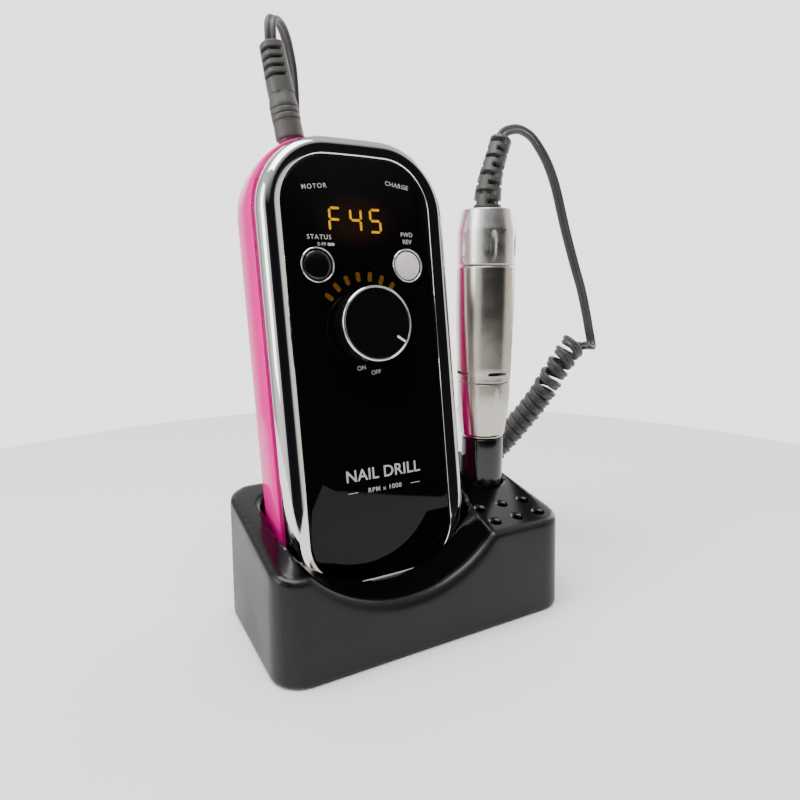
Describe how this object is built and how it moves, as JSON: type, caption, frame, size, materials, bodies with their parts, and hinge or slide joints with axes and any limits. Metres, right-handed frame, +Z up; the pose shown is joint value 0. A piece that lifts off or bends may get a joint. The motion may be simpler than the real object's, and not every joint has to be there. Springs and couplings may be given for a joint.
{
  "type": "electric nail drill",
  "caption": "Rechargeable nail drill: a control box with a speed knob and a handpiece on a curly cord, both standing in a desk cradle.",
  "frame": {"origin": "centre of the flat rubber pad under the cradle, on the surface it stands on", "axes": "+Z up, +X along the cradle's front edge towards the handpiece, +Y towards the cradle's back"},
  "size_m": [0.1953, 0.1029, 0.2474],
  "materials": {
    "gloss_black_abs": "glossy moulded, slightly charcoal",
    "black_rubber": "matt",
    "zinc_steel": "zinc plated",
    "pink_abs": "high gloss pink",
    "chrome_plate": "bright chrome plated plastic",
    "black_acrylic": "polished tinted acrylic",
    "green_laminate": "solder mask over glass laminate",
    "amber_led": "clear moulding lit amber",
    "battery_wrap": "heat shrink sleeve",
    "white_inlay": "painted inlay",
    "satin_aluminium": "satin anodised, cap bead blasted",
    "grey_vinyl": "matt flexible vinyl",
    "nickel_plate": "nickel plated"
  },
  "bodies": {
    "stand": {"stand_shell": "gloss_black_abs", "stand_base_plate": "zinc_steel", "stand_rubber_pad": "black_rubber", "stand_screw_1": "zinc_steel", "stand_screw_2": "zinc_steel", "stand_screw_3": "zinc_steel", "stand_screw_4": "zinc_steel", "handpiece_socket": "gloss_black_abs", "cord_coil": "grey_vinyl"},
    "control_box": {"rear_shell": "pink_abs", "chrome_front_housing": "chrome_plate", "front_panel": "black_acrylic", "main_board": "green_laminate", "display_module": "black_acrylic", "battery_cell_left": "battery_wrap", "battery_cell_right": "battery_wrap", "potentiometer_body": "zinc_steel", "status_switch": "black_rubber", "direction_switch": "black_rubber", "led_light_guide": "amber_led", "status_button_ring": "chrome_plate", "direction_button_ring": "chrome_plate", "handpiece_jack": "black_rubber", "charge_jack": "black_rubber", "shell_screw_1": "zinc_steel", "shell_screw_2": "zinc_steel", "shell_screw_3": "zinc_steel", "shell_screw_4": "zinc_steel", "plug_tip": "nickel_plate", "plug_body": "grey_vinyl", "plug_strain_relief": "grey_vinyl", "cord_lead_box": "grey_vinyl"},
    "speed_knob": {"knob_cap": "black_acrylic", "knob_trim_ring": "chrome_plate", "knob_pointer": "white_inlay", "potentiometer_shaft": "nickel_plate"},
    "status_button": {"status_button_cap": "black_acrylic"},
    "direction_button": {"direction_button_cap": "black_acrylic"},
    "handpiece": {"handpiece_rear_cap": "satin_aluminium", "handpiece_barrel": "satin_aluminium", "motor": "zinc_steel", "nose_tip": "nickel_plate", "front_bearing": "zinc_steel", "lock_spring": "zinc_steel", "handpiece_strain_relief": "grey_vinyl", "cord_lead_handpiece": "grey_vinyl"},
    "nose_sleeve": {"nose_sleeve": "satin_aluminium"},
    "spindle": {"spindle_shaft": "nickel_plate", "collet": "nickel_plate"}
  },
  "joints": [
    {"name": "box_lift", "type": "slide", "parent": "stand", "child": "control_box", "axis": [0, 0.1509, 0.9885], "range_m": [0, 0.055]},
    {"name": "knob_turn", "type": "hinge", "parent": "control_box", "child": "speed_knob", "pos_m": [-0.01146, 0.00143, 0.125], "axis": [0, -0.9885, 0.1509], "range_deg": [0, 300]},
    {"name": "status_press", "type": "slide", "parent": "control_box", "child": "status_button", "axis": [0, 0.9885, -0.1509], "range_m": [0, 0.0008], "stiffness_N_per_m": 400},
    {"name": "direction_press", "type": "slide", "parent": "control_box", "child": "direction_button", "axis": [0, 0.9885, -0.1509], "range_m": [0, 0.0008], "stiffness_N_per_m": 400},
    {"name": "handpiece_lift", "type": "slide", "parent": "stand", "child": "handpiece", "axis": [0, 0, 1], "range_m": [0, 0.05]},
    {"name": "sleeve_twist", "type": "hinge", "parent": "handpiece", "child": "nose_sleeve", "pos_m": [0.0507, 0.0071, 0.085], "axis": [0, 0, 1], "range_deg": [0, 60]},
    {"name": "spindle_spin", "type": "hinge", "parent": "handpiece", "child": "spindle", "pos_m": [0.0507, 0.0071, 0.085], "axis": [0, 0, 1], "continuous": true}
  ]
}
